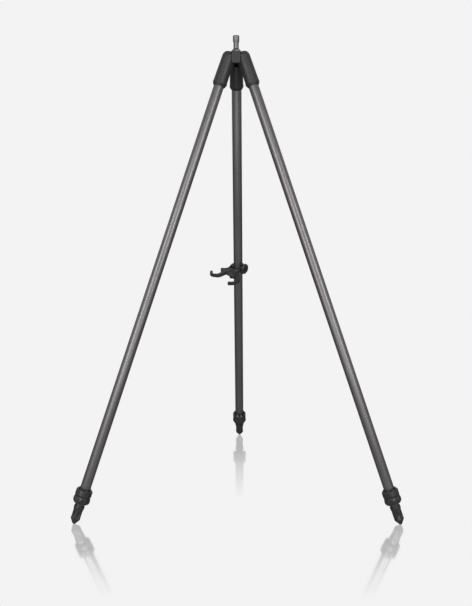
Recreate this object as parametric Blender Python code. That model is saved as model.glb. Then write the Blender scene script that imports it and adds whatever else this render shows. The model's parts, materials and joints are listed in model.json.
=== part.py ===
# Rod tripod: three telescopic legs that fold on a moulded hub, a screwed-in peg on top and a
# swivelling leg catch on the rear leg. Metres, +Z up. The origin is on the floor, under the middle
# of the box round the three feet.
from math import cos, hypot, pi, radians, sin, tan

import bmesh
import bpy
from mathutils import Euler, Matrix, Vector

# Stance: every leg axis runs from the floor circle to one apex above the hub.
LEAN = radians(21.23)
FOOT_CIRCLE = 0.3965
PIN_HEIGHT = 0.968
LEGS = {"left": radians(210), "right": radians(330), "rear": radians(90)}
FRONT_FEET_OUT = 0.00817
REAR_FOOT_OUT = 0.00497
AXIS_Y = -(FOOT_CIRCLE + REAR_FOOT_OUT - FOOT_CIRCLE / 2 - FRONT_FEET_OUT) / 2
FOLD_ANGLE = radians(20.03)

PIN_S = PIN_HEIGHT / cos(LEAN)
PIN_CIRCLE = FOOT_CIRCLE - PIN_S * sin(LEAN)

# Tubes. Distances called _s are measured up the leg axis from the floor.
UPPER_OUTER = 0.011
UPPER_BORE = 0.010
UPPER_BOTTOM_S = 0.0560
UPPER_TOP_S = 1.0155
INNER_OUTER = 0.009
INNER_BORE = 0.008
INNER_BOTTOM_S = 0.0421
INNER_TOP_S = 0.9420
FIT = 0.00035

# Hub
HUB_TOP = 0.9842
HUB_BOTTOM = 0.9592
BLOCK_HALF_WIDTH = 0.00915
BLOCK_REACH = 0.0225
HUB_BEVEL = 0.0016
TONGUE_HALF = 0.0040
TONGUE_ROUND = 0.0076
PIN_RADIUS = 0.0030
PIN_HALF_LENGTH = 0.0137

# Peg
PEG_TOP = 1.0186
PEG_HEAD = 0.0070
PEG_NECK = 0.0057
PEG_SHANK = 0.0030
PEG_SHANK_DEPTH = 0.022
PEG_NUT_BOTTOM = 0.9846
PEG_NUT_HEIGHT = 0.0062
PEG_NUT_FLAT = 0.0095

# Leg sleeve
SLEEVE_RIM = 0.0154
SLEEVE_NECK = 0.01408
SLEEVE_BOTTOM_S = 0.9768
SLEEVE_RIM_S = (0.9822, 0.9866)
SLEEVE_SHOULDER_S = 1.0406
SLEEVE_DOME = 0.0150
SLEEVE_DOME_POWER = 2.4
SLOT_DEPTH = 0.0096
SLOT_OUT = TONGUE_ROUND + 0.0004
SWEEP_CLEARANCE = 0.0005

# Twist lock
NUT_RADIUS = 0.0179
COLLAR_RADIUS = 0.0174
LOCK_LOBES = 8
NUT_BOTTOM_S = 0.0452
NUT_TOP_S = 0.0610
COLLAR_TOP_S = 0.0790
COLLAR_RIM_S = 0.0752
POCKET_DEPTH = 0.0075
POCKET_REACH = (0.0100, 0.0154)
POCKET_HALF = (0.0021, 0.0027)
SPIGOT_RADIUS = 0.0140
SPIGOT_BOTTOM_S = 0.0540
COLLET_S = (0.0474, 0.0536)
SEAT_S = (0.0466, 0.0506)

# Foot
TIP_RADIUS = 0.0042
CONE_HALF_ANGLE = radians(35)
FOOT_RADIUS = 0.0101
FLANGE_RADIUS = 0.0111
FLANGE_S = (0.0342, 0.0417)
FLUTE_TOP_S = 0.0276
PLUG_TOP_S = 0.0610
FLUTES = 6
FLUTE_DEPTH = 0.0019
RIDGE_HALF = radians(9.5)
FLUTE_WALL = radians(5.5)

# Leg catch on the rear leg. Hooks, arms and web droop from the collar out to the far jaws.
CATCH_HEADING = radians(132.5)
HOOK_ANGLE = radians(60)
HOOK_REACH = 0.0541
HOOK_BORE = 0.01166
HOOK_RADIUS = 0.0172
FAR_JAW_REACH = HOOK_REACH + 0.0145
FAR_JAW_S = 0.5187
DROOP = 0.115
HOOK_THICKNESS = 0.0074
ARM_THICKNESS = 0.0045
WEB_THICKNESS = 0.0036
WEB_REACH = 0.0357
WEB_HALF = radians(20)
ARM_START = 0.0060
ARM_END = HOOK_REACH - 0.0145
FILLET_S = 0.5280
FILLET_HALF = radians(46)
RIB_WIDTH = 0.0044
RIB_CREST_S = 0.5280
RIB_END_S = 0.5290
RIB_END = HOOK_REACH - 0.0133
RING_S = (0.5270, 0.5343)
RING_RADIUS = 0.0158
WALL_TOP_S = 0.5395
WALL_BORE = 0.0115
WALL_STEP_S = 0.5357
OPENING_HEADING = radians(180)
OPENING_HALF = radians(62)
LINER_OUTER = 0.0130
LINER_S = (0.5250, 0.5352)
LIP = 0.0014
LIP_HEIGHT = 0.0016
KNOB_HEADING = radians(-127)
KNOB_S = 0.5338
KNOB_RADIUS = 0.0138
KNOB_FACE = (0.0164, 0.0248)
BOSS_RADIUS = 0.0060
BOSS_END = 0.0160
SCREW_RADIUS = 0.0024
SCREW_DEPTH = 0.0060

STEPS = 20


def clear_scene():
    for item in list(bpy.data.objects):
        bpy.data.objects.remove(item, do_unlink=True)


def finish(name, colour, roughness, metallic=0.0):
    material = bpy.data.materials.new(name)
    material.use_nodes = True
    shader = material.node_tree.nodes["Principled BSDF"]
    shader.inputs["Base Color"].default_value = (*colour, 1.0)
    shader.inputs["Roughness"].default_value = roughness
    shader.inputs["Metallic"].default_value = metallic
    material.diffuse_color = (*colour, 1.0)
    return material


def add_object(name, bm, material=None, parent=None, place=(0, 0, 0), turn=(0, 0, 0)):
    bmesh.ops.remove_doubles(bm, verts=bm.verts, dist=1e-6)
    bmesh.ops.recalc_face_normals(bm, faces=bm.faces)
    mesh = bpy.data.meshes.new(name)
    bm.to_mesh(mesh)
    bm.free()
    mesh.shade_smooth()
    mesh.set_sharp_from_angle(angle=radians(35))
    item = bpy.data.objects.new(name, mesh)
    bpy.context.scene.collection.objects.link(item)
    if material:
        mesh.materials.append(material)
    item.parent = parent
    item.location = place
    item.rotation_euler = turn
    return item


def add_empty(name, place, turn=(0, 0, 0), parent=None):
    item = bpy.data.objects.new(name, None)
    item.empty_display_size = 0.02
    bpy.context.scene.collection.objects.link(item)
    item.parent = parent
    item.location = place
    item.rotation_euler = turn
    return item


def guide(item):
    # A solid that only cuts, or is joined to, another one.
    item.hide_render = True
    item.display_type = "WIRE"
    return item


def combine(item, other, operation):
    step = item.modifiers.new(operation.lower() + "_" + other.name, "BOOLEAN")
    step.operation = operation
    step.solver = "EXACT"
    step.object = guide(other)


def bevel(item, width, segments=2, angle=radians(40)):
    step = item.modifiers.new("edges", "BEVEL")
    step.width = width
    step.segments = segments
    step.limit_method = "ANGLE"
    step.angle_limit = angle
    step.harden_normals = False


def arc(centre, radius, start, stop, steps):
    # Points on an arc in degrees, as (across, along) pairs.
    turns = [radians(start + (stop - start) * i / steps) for i in range(steps + 1)]
    return [(centre[0] + radius * cos(a), centre[1] + radius * sin(a)) for a in turns]


def even_turns(steps):
    return [(2 * pi * i / steps, 0.0) for i in range(steps)]


def rings(profile, turns):
    # One ring of points for each (radius, height, depth) of a profile turned round local Z. Each of
    # the turns is an angle and the share of the depth that is scooped out there.
    found = []
    for point in profile:
        radius, height = point[0], point[1]
        depth = point[2] if len(point) > 2 else 0.0
        ring = []
        for turn, share in turns:
            r = radius - depth * share
            ring.append(Vector((r * cos(turn), r * sin(turn), height)))
        found.append(ring)
    return found


def turned_mesh(profile, steps=STEPS, through=False, turns=None):
    # A turned solid. A profile with through=True closes on itself round a bore; any other one
    # starts and ends on the axis.
    turns = turns or even_turns(steps)
    steps = len(turns)
    bm = bmesh.new()
    loops = []
    for ring in rings(profile, turns):
        if hypot(ring[0].x, ring[0].y) < 1e-7:
            loops.append([bm.verts.new(ring[0])])
        else:
            loops.append([bm.verts.new(point) for point in ring])
    pairs = list(zip(loops, loops[1:]))
    if through:
        pairs.append((loops[-1], loops[0]))
    for low, high in pairs:
        for i in range(steps):
            j = (i + 1) % steps
            corners = [low[i % len(low)], low[j % len(low)], high[j % len(high)], high[i % len(high)]]
            corners = list(dict.fromkeys(corners))
            if len(corners) > 2:
                bm.faces.new(corners)
    return bm


def prism_mesh(outline, low, high):
    # A closed outline in local XY, pulled from one height to another.
    bm = bmesh.new()
    base = bm.faces.new([bm.verts.new((x, y, low)) for x, y in outline])
    pulled = bmesh.ops.extrude_face_region(bm, geom=[base])
    lifted = [v for v in pulled["geom"] if isinstance(v, bmesh.types.BMVert)]
    bmesh.ops.translate(bm, verts=lifted, vec=(0, 0, high - low))
    return bm


def pipe_mesh(bore, outer, low, high, steps=STEPS):
    return turned_mesh([(bore, low), (outer, low), (outer, high), (bore, high)], steps, through=True)


def bar_mesh(radius, half, steps=16):
    # A plain round bar along local Z.
    return turned_mesh([(0, -half), (radius, -half), (radius, half), (0, half)], steps)


def slit_mesh(half, low, high):
    # A thin block that cuts one side of a ring.
    return prism_mesh([(0.005, -half), (0.02, -half), (0.02, half), (0.005, half)], low, high)


def lobes(count, each, phase=0.0):
    # Round scoops between as many ridges, with a number of points to each.
    found = []
    for i in range(count * each):
        turn = 2 * pi * i / (count * each)
        found.append((phase + turn, (0.5 - 0.5 * cos(count * turn)) ** 0.8))
    return found


def flutes(count, phase=0.0):
    # Flat-bottomed grooves between narrow flat ridges.
    pitch = 2 * pi / count
    found = []
    for i in range(count):
        ridge = phase + pitch * i
        found += [(ridge - RIDGE_HALF, 0.0), (ridge + RIDGE_HALF, 0.0)]
        found += [(ridge + RIDGE_HALF + FLUTE_WALL, 1.0), (ridge + pitch / 2, 1.0)]
        found += [(ridge + pitch - RIDGE_HALF - FLUTE_WALL, 1.0)]
    return found


def hub_outline():
    # Three blocks between the legs, meeting at the leg headings.
    points = []
    for heading in (radians(270), radians(30), radians(150)):
        ahead = Vector((cos(heading), sin(heading)))
        side = Vector((-ahead.y, ahead.x))
        for across in (-BLOCK_HALF_WIDTH, BLOCK_HALF_WIDTH):
            points.append(tuple(ahead * BLOCK_REACH + side * across))
        junction = BLOCK_HALF_WIDTH / sin(radians(60))
        heading += radians(60)
        points.append((junction * cos(heading), junction * sin(heading)))
    return points


def sleeve_outline():
    # Radius and distance up the leg of the sleeve's outer skin, bottom rim to dome.
    low, high = SLEEVE_RIM_S
    points = [(UPPER_OUTER + 0.0014, SLEEVE_BOTTOM_S), (SLEEVE_RIM - 0.0006, low - 0.0008)]
    points += [(SLEEVE_RIM, low), (SLEEVE_RIM, high), (SLEEVE_RIM - 0.00035, high + 0.0005)]
    for i in range(7):
        turn = pi / 2 * i / 6
        across = SLEEVE_NECK * max(cos(turn), 0.0) ** (2 / SLEEVE_DOME_POWER)
        along = SLEEVE_DOME * sin(turn) ** (2 / SLEEVE_DOME_POWER)
        points.append((across if i < 6 else 0.0, SLEEVE_SHOULDER_S + along))
    return points


def sweep_mesh(upper):
    # The space that one half of a sleeve, above or below its pin, passes through as the leg folds.
    outline = [(r + SWEEP_CLEARANCE, s - PIN_S) for r, s in sleeve_outline()]
    outline = [(r, s) for r, s in outline if (s > 0.001) == upper]
    outline.append((SLEEVE_NECK + SWEEP_CLEARANCE, 0.0))
    if upper:
        outline = [(r, s + (SWEEP_CLEARANCE if s > 0.006 else 0.0)) for r, s in outline]
    bm = bmesh.new()
    for fold in (0.0, FOLD_ANGLE / 2, FOLD_ANGLE):
        swing = Matrix.Rotation(fold, 3, "Y")
        for ring in rings(outline, even_turns(20)):
            for point in ring:
                bm.verts.new(swing @ point)
    bmesh.ops.remove_doubles(bm, verts=bm.verts, dist=1e-5)
    hull = bmesh.ops.convex_hull(bm, input=bm.verts)
    loose = {v for v in hull["geom_interior"] + hull["geom_unused"] if isinstance(v, bmesh.types.BMVert)}
    bmesh.ops.delete(bm, geom=list(loose), context="VERTS")
    return bm


def tongue_mesh():
    # The hub's lug inside a sleeve: a plate in the leg's upright plane, round below its pin, with
    # the flat outer face that stops the leg as it spreads. Drawn in the leg's own frame at the pin.
    def level(out, up):
        # A point given by its level and upright distances from the pin.
        return (out * cos(LEAN) + up * sin(LEAN), up * cos(LEAN) - out * sin(LEAN))

    core = 0.0020 - PIN_CIRCLE
    top = HUB_TOP - 0.0006 - PIN_HEIGHT
    points = [level(core, -0.0066)]
    points += arc((0, 0), TONGUE_ROUND, -112, 0, 8)
    points += [(TONGUE_ROUND, 0.0118), (TONGUE_ROUND - 0.0022, 0.0146)]
    points += [level(core, top)]
    bm = prism_mesh(points, -TONGUE_HALF, TONGUE_HALF)
    bmesh.ops.rotate(bm, verts=bm.verts, matrix=Matrix.Rotation(pi / 2, 3, "X"))
    return bm


def leg_pin(heading):
    return Vector((PIN_CIRCLE * cos(heading), AXIS_Y + PIN_CIRCLE * sin(heading), PIN_HEIGHT))


def make_hub(materials):
    centre = (0, AXIS_Y, 0)
    hub = prism_mesh(hub_outline(), HUB_BOTTOM, HUB_TOP)
    hub = add_object("hub", hub, materials["hub"], place=centre)
    bevel(hub, HUB_BEVEL, 2)
    for leg, heading in LEGS.items():
        turn = Euler((0, -LEAN, heading))
        for upper, half in ((True, "upper"), (False, "lower")):
            sweep = sweep_mesh(upper)
            name = "sweep_" + half + "_" + leg
            sweep = add_object(name, sweep, place=leg_pin(heading), turn=turn)
            combine(hub, sweep, "DIFFERENCE")
    for leg, heading in LEGS.items():
        turn = Euler((0, -LEAN, heading))
        tongue = add_object("tongue_" + leg, tongue_mesh(), place=leg_pin(heading), turn=turn)
        combine(hub, tongue, "UNION")
    for leg, heading in LEGS.items():
        turn = Euler((pi / 2, 0, heading))
        bore = bar_mesh(PIN_RADIUS + FIT, 0.008)
        bore = add_object("pin_bore_" + leg, bore, place=leg_pin(heading), turn=turn)
        combine(hub, bore, "DIFFERENCE")
    floor = HUB_TOP - PEG_SHANK_DEPTH - 0.0006
    roof = HUB_TOP + 0.002
    shank = PEG_SHANK + FIT
    bore = turned_mesh([(0, floor), (shank, floor), (shank, roof), (0, roof)])
    combine(hub, add_object("peg_bore", bore, place=centre), "DIFFERENCE")
    half, end = PIN_HALF_LENGTH, 0.0005
    profile = [(0, -half), (PIN_RADIUS - end, -half), (PIN_RADIUS, end - half)]
    profile += [(r, -z) for r, z in reversed(profile)]
    for leg, heading in LEGS.items():
        turn = Euler((pi / 2, 0, heading))
        pin = turned_mesh(profile, 16)
        add_object("hinge_pin_" + leg, pin, materials["pin"], place=leg_pin(heading), turn=turn)


def make_peg(materials):
    centre = (0, AXIS_Y, 0)
    round_off = 0.0022
    low, high = PEG_NUT_BOTTOM, PEG_NUT_BOTTOM + PEG_NUT_HEIGHT
    profile = [(0, HUB_TOP - PEG_SHANK_DEPTH), (PEG_SHANK, HUB_TOP - PEG_SHANK_DEPTH)]
    profile += [(PEG_SHANK, high + FIT), (PEG_NECK, high + FIT)]
    profile += [(PEG_NECK, PEG_TOP - 0.0168), (PEG_NECK + 0.0003, PEG_TOP - 0.0148)]
    profile += [(PEG_HEAD - 0.0002, PEG_TOP - 0.0112), (PEG_HEAD, PEG_TOP - 0.0100)]
    profile += arc((PEG_HEAD - round_off, PEG_TOP - round_off), round_off, 0, 90, 4)
    profile += [(0, PEG_TOP)]
    add_object("peg", turned_mesh(profile), materials["peg"], place=centre)

    profile = [(PEG_SHANK + FIT, low), (0.0112, low), (0.0114, low + 0.0006), (0.0106, low + 0.0018)]
    profile += [(0.0071, high - 0.0006), (0.0062, high), (PEG_SHANK + FIT, high)]
    nut = turned_mesh(profile, through=True)
    nut = add_object("peg_nut", nut, materials["peg"], place=centre)
    for i in range(6):
        flat = [(-0.03, PEG_NUT_FLAT), (0.03, PEG_NUT_FLAT), (0.03, 0.02), (-0.03, 0.02)]
        flat = prism_mesh(flat, low - 0.001, high + 0.001)
        flat = add_object("nut_flat_%d" % i, flat, place=centre, turn=(0, 0, radians(60 * i + 15)))
        combine(nut, flat, "DIFFERENCE")


def make_sleeve(leg, fold, materials):
    outer = [(r, s - PIN_S) for r, s in sleeve_outline()]
    bore = UPPER_OUTER + FIT
    roof = UPPER_TOP_S + 0.0005 - PIN_S
    profile = [(0, roof), (bore, roof), (bore, SLEEVE_BOTTOM_S - PIN_S)] + outer
    sleeve = add_object("leg_sleeve_" + leg, turned_mesh(profile), materials["hub"], parent=fold)
    width = TONGUE_HALF + 0.0004
    slot = [(-0.030, -width), (SLOT_OUT, -width), (SLOT_OUT, width), (-0.030, width)]
    slot = prism_mesh(slot, -SLOT_DEPTH, 0.03)
    combine(sleeve, add_object("slot_" + leg, slot, parent=fold), "DIFFERENCE")
    bore = bar_mesh(PIN_RADIUS + FIT, 0.02)
    bore = add_object("sleeve_bore_" + leg, bore, parent=fold, turn=(pi / 2, 0, 0))
    combine(sleeve, bore, "DIFFERENCE")


def make_lock(leg, fold, materials, phase):
    # The collar: a ring over the tube's end with a conical top and a threaded spigot below.
    bore = UPPER_OUTER + FIT
    profile = [(bore, COLLAR_TOP_S), (bore, SPIGOT_BOTTOM_S), (SPIGOT_RADIUS, SPIGOT_BOTTOM_S)]
    rim = COLLAR_RADIUS
    profile += [(SPIGOT_RADIUS, NUT_TOP_S + FIT), (rim - 0.0010, NUT_TOP_S + FIT)]
    profile += [(rim, NUT_TOP_S + 0.0026), (rim, COLLAR_RIM_S - 0.0012), (rim - 0.0012, COLLAR_RIM_S)]
    profile += [(0.0134, COLLAR_TOP_S - 0.0004), (0.0128, COLLAR_TOP_S)]
    profile = [(r, s - PIN_S) for r, s in profile]
    collar = turned_mesh(profile, through=True)
    collar = add_object("lock_collar_" + leg, collar, materials["plastic"], parent=fold)
    (start, end), (narrow, wide) = POCKET_REACH, POCKET_HALF
    outline = [(start, -narrow), (end, -wide), (end, wide), (start, narrow)]
    pockets = bmesh.new()
    for i in range(LOCK_LOBES):
        pocket = prism_mesh(outline, COLLAR_TOP_S - POCKET_DEPTH - PIN_S, COLLAR_TOP_S + 0.002 - PIN_S)
        swing = Matrix.Rotation(2 * pi * i / LOCK_LOBES + phase, 3, "Z")
        bmesh.ops.rotate(pocket, verts=pocket.verts, matrix=swing)
        piece = bpy.data.meshes.new("pocket")
        pocket.to_mesh(piece)
        pocket.free()
        pockets.from_mesh(piece)
        bpy.data.meshes.remove(piece)
    combine(collar, add_object("pockets_" + leg, pockets, parent=fold), "DIFFERENCE")

    # The split collet that the nut squeezes on to the inner tube.
    grip = INNER_OUTER + FIT
    low, high = COLLET_S
    profile = [(grip, low), (0.0101, low), (0.0134, low + 0.0032), (0.0134, high - 0.0004)]
    profile += [(0.0112, high), (grip, high)]
    profile = [(r, s - PIN_S) for r, s in profile]
    collet = turned_mesh(profile, through=True)
    collet = add_object("lock_collet_" + leg, collet, materials["pale"], parent=fold)
    slit = slit_mesh(0.0006, low - 0.0015 - PIN_S, high + 0.0015 - PIN_S)
    combine(collet, add_object("slit_" + leg, slit, parent=fold), "DIFFERENCE")

    # The twist nut, with a finger scoop for each pocket of the collar.
    low, high = NUT_BOTTOM_S, NUT_TOP_S
    middle = (low + high) / 2
    rim = NUT_RADIUS
    hole = INNER_OUTER + 0.0005
    profile = [(hole, low), (0.0128, low), (0.0146, low + 0.0008, 0.0004)]
    profile += [(rim - 0.0006, low + 0.0036, 0.0016), (rim, middle - 0.001, 0.0020)]
    profile += [(rim, middle + 0.0030, 0.0014), (rim - 0.0013, high)]
    profile += [(SPIGOT_RADIUS + 0.0005, high), (SPIGOT_RADIUS + 0.0005, SEAT_S[1])]
    profile += [(INNER_OUTER + 0.0013, SEAT_S[0]), (hole, SEAT_S[0])]
    profile = [(p[0], p[1] - middle) + tuple(p[2:]) for p in profile]
    mesh = turned_mesh(profile, through=True, turns=lobes(LOCK_LOBES, 3, phase))
    add_object("lock_nut_" + leg, mesh, materials["plastic"], parent=fold, place=(0, 0, middle - PIN_S))


def foot_profile():
    # The tip is a small ball whose lowest point, with the leg spread, is on the floor.
    ball = TIP_RADIUS / cos(LEAN)
    polar = (0.0, LEAN, (LEAN + pi / 2 - CONE_HALF_ANGLE) / 2, pi / 2 - CONE_HALF_ANGLE)
    points = [(TIP_RADIUS * sin(a), ball - TIP_RADIUS * cos(a)) for a in polar]
    across, along = points[-1]
    shoulder = FOOT_RADIUS - 0.0013
    points += [(shoulder, along + (shoulder - across) / tan(CONE_HALF_ANGLE))]
    points += [(FOOT_RADIUS - 0.0003, points[-1][1] + 0.0014), (FOOT_RADIUS, points[-1][1] + 0.0030)]
    return points


def make_lower_leg(leg, fold, materials, phase):
    lower = add_empty("lower_leg_" + leg, (0, 0, -PIN_S), parent=fold)
    tube = pipe_mesh(INNER_BORE, INNER_OUTER, INNER_BOTTOM_S, INNER_TOP_S)
    add_object("inner_tube_" + leg, tube, materials["tube"], parent=lower)

    # The bush at the top of the inner tube runs in the upper tube's bore.
    run = UPPER_BORE - FIT
    plug = INNER_BORE - FIT
    profile = [(0, -0.0100), (plug, -0.0100), (plug, FIT), (run - 0.0004, FIT), (run, 0.0008)]
    profile += [(run, 0.0125), (run - 0.0010, 0.0135), (0, 0.0135)]
    profile = [(r, INNER_TOP_S + z) for r, z in profile]
    add_object("tube_bush_" + leg, turned_mesh(profile), materials["pale"], parent=lower)

    # The foot: pointed tip, fluted grip, flange, and a spigot in the inner tube.
    start = foot_profile()
    base = start[-1][1]
    profile = start + [(FOOT_RADIUS, base + 0.0032, FLUTE_DEPTH)]
    low, high = FLANGE_S
    profile += [(FOOT_RADIUS, FLUTE_TOP_S, FLUTE_DEPTH), (FOOT_RADIUS, FLUTE_TOP_S + 0.0030)]
    profile += [(FOOT_RADIUS, low - 0.0008), (FLANGE_RADIUS, low), (FLANGE_RADIUS, high - 0.0007)]
    plug = INNER_BORE - 0.0005
    profile += [(FLANGE_RADIUS - 0.0006, high), (plug, high), (plug, PLUG_TOP_S), (0, PLUG_TOP_S)]
    mesh = turned_mesh(profile, turns=flutes(FLUTES, phase))
    add_object("foot_" + leg, mesh, materials["plastic"], parent=lower)


def make_leg(leg, heading, materials):
    fold = add_empty("fold_" + leg, leg_pin(heading), Euler((0, -LEAN, heading)))
    make_sleeve(leg, fold, materials)
    tube = pipe_mesh(UPPER_BORE, UPPER_OUTER, UPPER_BOTTOM_S - PIN_S, UPPER_TOP_S - PIN_S)
    add_object("upper_tube_" + leg, tube, materials["tube"], parent=fold)
    # A pocket of each lock faces the front, and so does a rib or a groove of each foot.
    facing = radians(270) - heading
    make_lock(leg, fold, materials, facing)
    make_lower_leg(leg, fold, materials, facing + (radians(30) if leg == "right" else 0.0))
    return fold


def hook_point(heading, ahead, out):
    # A point of the catch plate: out along a hook's heading, ahead towards the hook's mouth.
    return (out * cos(heading) + ahead * sin(heading), out * sin(heading) - ahead * cos(heading))


def hook_outline(heading, jaw, beak):
    # An open hook round its bore: far jaw from the jaw angle, bulging back, near jaw and the beak
    # beside the mouth.
    points = arc((0, 0), HOOK_RADIUS, jaw + 3, 150, 7)
    points += [(-0.0186, 0.0050), (-0.0206, 0.0005), (-0.0204, -0.0050), (-0.0188, -0.0105)]
    points += [(-0.0163, -0.0160), (-0.0130, -0.0230), (0.0060, -0.0230)]
    points += [(beak - 0.0004, -0.0165), (beak, -0.0126), (beak - 0.0012, -0.0118)]
    points += arc((0, 0), HOOK_BORE, -66, jaw - 360, 14)
    return [hook_point(heading, ahead, HOOK_REACH + out) for ahead, out in points]


def arm_outline(heading, edge):
    # The wide arm from the collar to the hook's back, with its edge on the mouth's side.
    points = [(edge, ARM_START), (edge, ARM_END - 0.0015), (0.0060, ARM_END), (-0.0120, ARM_END)]
    points += [(-0.0160, ARM_END - 0.0035), (-0.0070, 0.0190), (-0.0060, ARM_START)]
    return [hook_point(heading, ahead, out) for ahead, out in points]


def rib_outline(top):
    # Seen from the side: along the arm, then up to the collar at the given height.
    foot = FAR_JAW_S + DROOP * (FAR_JAW_REACH - RIB_END) + 0.0020
    points = [(ARM_START, foot + 0.0030), (RIB_END, foot), (RIB_END, RIB_END_S)]
    points += [(RIB_END - 0.0080, RIB_CREST_S), (0.0240, RIB_CREST_S + 0.0002)]
    return points + [(0.0130, top), (ARM_START, top)]


def sector(heading, half, reach, steps=4):
    # A fan round the tube's axis.
    turns = [heading + half * (2 * i / steps - 1) for i in range(steps + 1)]
    return [(0.0, 0.0)] + [(reach * cos(a), reach * sin(a)) for a in turns]


def drooping(outline, thickness, reach_of):
    # A plate of the catch, whose height falls with the distance from the tube.
    plate = prism_mesh(outline, FAR_JAW_S, FAR_JAW_S + thickness)
    bmesh.ops.triangulate(plate, faces=plate.faces)
    for vert in plate.verts:
        vert.co.z += DROOP * (FAR_JAW_REACH - reach_of(vert.co))
    return plate


def make_liner(slide, materials):
    run = UPPER_OUTER + FIT
    low, high = LINER_S
    lip = LINER_OUTER + LIP
    profile = [(run, low), (lip, low), (lip, low + LIP_HEIGHT), (LINER_OUTER, low + LIP_HEIGHT)]
    profile += [(LINER_OUTER, high), (run, high)]
    liner = turned_mesh(profile, through=True)
    liner = add_object("catch_liner", liner, materials["plastic"], parent=slide)
    slit = slit_mesh(0.0008, low - 0.005, high + 0.005)
    combine(liner, add_object("liner_slit", slit, parent=slide, turn=(0, 0, radians(20))), "DIFFERENCE")


def make_collar(slide, materials):
    # A ring with a wall on it that is open to one side.
    low, high = RING_S
    rim, top = RING_RADIUS, WALL_TOP_S
    profile = [(0, low), (rim - 0.0006, low), (rim, low + 0.0006), (rim, top - 0.0014)]
    profile += [(rim - 0.0014, top), (0, top)]
    collar = add_object("leg_catch", turned_mesh(profile), materials["plastic"], parent=slide)
    opening = prism_mesh(sector(OPENING_HEADING, OPENING_HALF, 0.040), high, top + 0.002)
    combine(collar, add_object("opening", opening, parent=slide), "DIFFERENCE")
    return collar


def add_hooks(catch, slide):
    def radial(at):
        return hypot(at.x, at.y)

    web = drooping(sector(CATCH_HEADING, WEB_HALF, WEB_REACH), WEB_THICKNESS, radial)
    combine(catch, add_object("web", web, parent=slide), "UNION")
    # Each hook: name, side, jaw angle, beak, edge of its arm, where its rib stands and how high that
    # is at the collar.
    outer = ("_outer", -0.5, 50, 0.0122, 0.0126, 0.0080, WALL_TOP_S - 0.0012)
    inner = ("_inner", 0.5, 73, 0.0084, 0.0104, 0.0040, RING_S[1] - 0.0002)
    for name, side, jaw, beak, edge, start, crest in (outer, inner):
        heading = CATCH_HEADING + side * HOOK_ANGLE
        ahead = Vector((cos(heading), sin(heading), 0))
        arm = drooping(arm_outline(heading, edge), ARM_THICKNESS, ahead.dot)
        combine(catch, add_object("arm" + name, arm, parent=slide), "UNION")
        hook = drooping(hook_outline(heading, jaw, beak), HOOK_THICKNESS, ahead.dot)
        combine(catch, add_object("hook" + name, hook, parent=slide), "UNION")
        rib = prism_mesh(rib_outline(crest), start, start + RIB_WIDTH)
        bmesh.ops.rotate(rib, verts=rib.verts, matrix=Matrix.Rotation(pi / 2, 3, "X"))
        combine(catch, add_object("rib" + name, rib, parent=slide, turn=(0, 0, heading)), "UNION")
    # A fillet between the arms and the ring.
    low, rim, high = FILLET_S, RING_RADIUS, RING_S[1] - 0.0002
    cone = [(0.0, low), (rim + 0.0050, low), (rim + 0.0050, low + 0.0012), (rim + 0.0018, low + 0.0032)]
    cone += [(rim + 0.0002, high), (0.0, high)]
    cone = add_object("root_fillet", turned_mesh(cone), parent=slide)
    keep = prism_mesh(sector(CATCH_HEADING, FILLET_HALF, 0.030), low - 0.001, WALL_TOP_S)
    combine(cone, add_object("fillet_keep", keep, parent=slide), "INTERSECT")
    combine(catch, cone, "UNION")


def make_catch(fold, materials):
    slide = add_empty("catch_place", (0, 0, -PIN_S), parent=fold)
    make_liner(slide, materials)
    catch = make_collar(slide, materials)
    add_hooks(catch, slide)
    clamp = add_empty("clamp", (0, 0, KNOB_S), (0, pi / 2, KNOB_HEADING), parent=slide)
    root = WALL_BORE - 0.0010
    boss = turned_mesh([(0, root), (BOSS_RADIUS, root), (BOSS_RADIUS, BOSS_END), (0, BOSS_END)])
    combine(catch, add_object("knob_boss", boss, parent=clamp), "UNION")
    bore, lip = LINER_OUTER + FIT, LINER_OUTER + LIP + FIT
    bottom, top = LINER_S[0] - 0.010, WALL_TOP_S + 0.010
    inside = [(0, bottom), (lip, bottom), (lip, RING_S[0]), (bore, RING_S[0]), (bore, WALL_STEP_S)]
    inside += [(WALL_BORE, WALL_STEP_S), (WALL_BORE, top), (0, top)]
    combine(catch, add_object("catch_bore", turned_mesh(inside), parent=slide), "DIFFERENCE")

    # The clamp: a knob on a screw that goes through the collar to the liner.
    shaft = SCREW_RADIUS
    hole = bar_mesh(shaft + FIT, 0.006)
    combine(catch, add_object("screw_hole", hole, parent=clamp, place=(0, 0, LINER_OUTER)), "DIFFERENCE")
    near, far = KNOB_FACE
    profile = [(0, near + SCREW_DEPTH), (shaft + FIT, near + SCREW_DEPTH), (shaft + FIT, near)]
    profile += [(0.0080, near), (0.0112, near + 0.0010), (0.0131, near + 0.0022, 0.0006)]
    profile += [(KNOB_RADIUS, near + 0.0036, 0.0010), (KNOB_RADIUS - 0.0004, near + 0.0050, 0.0010)]
    profile += [(0.0118, far - 0.0017, 0.0005), (0.0080, far - 0.0005), (0, far)]
    add_object("catch_knob", turned_mesh(profile, turns=lobes(9, 3)), materials["plastic"], parent=clamp)
    start, end = LINER_OUTER + FIT, near + SCREW_DEPTH - FIT
    screw = turned_mesh([(0, start), (shaft, start), (shaft, end), (0, end)], 16)
    add_object("catch_screw", screw, materials["steel"], parent=clamp)


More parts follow.
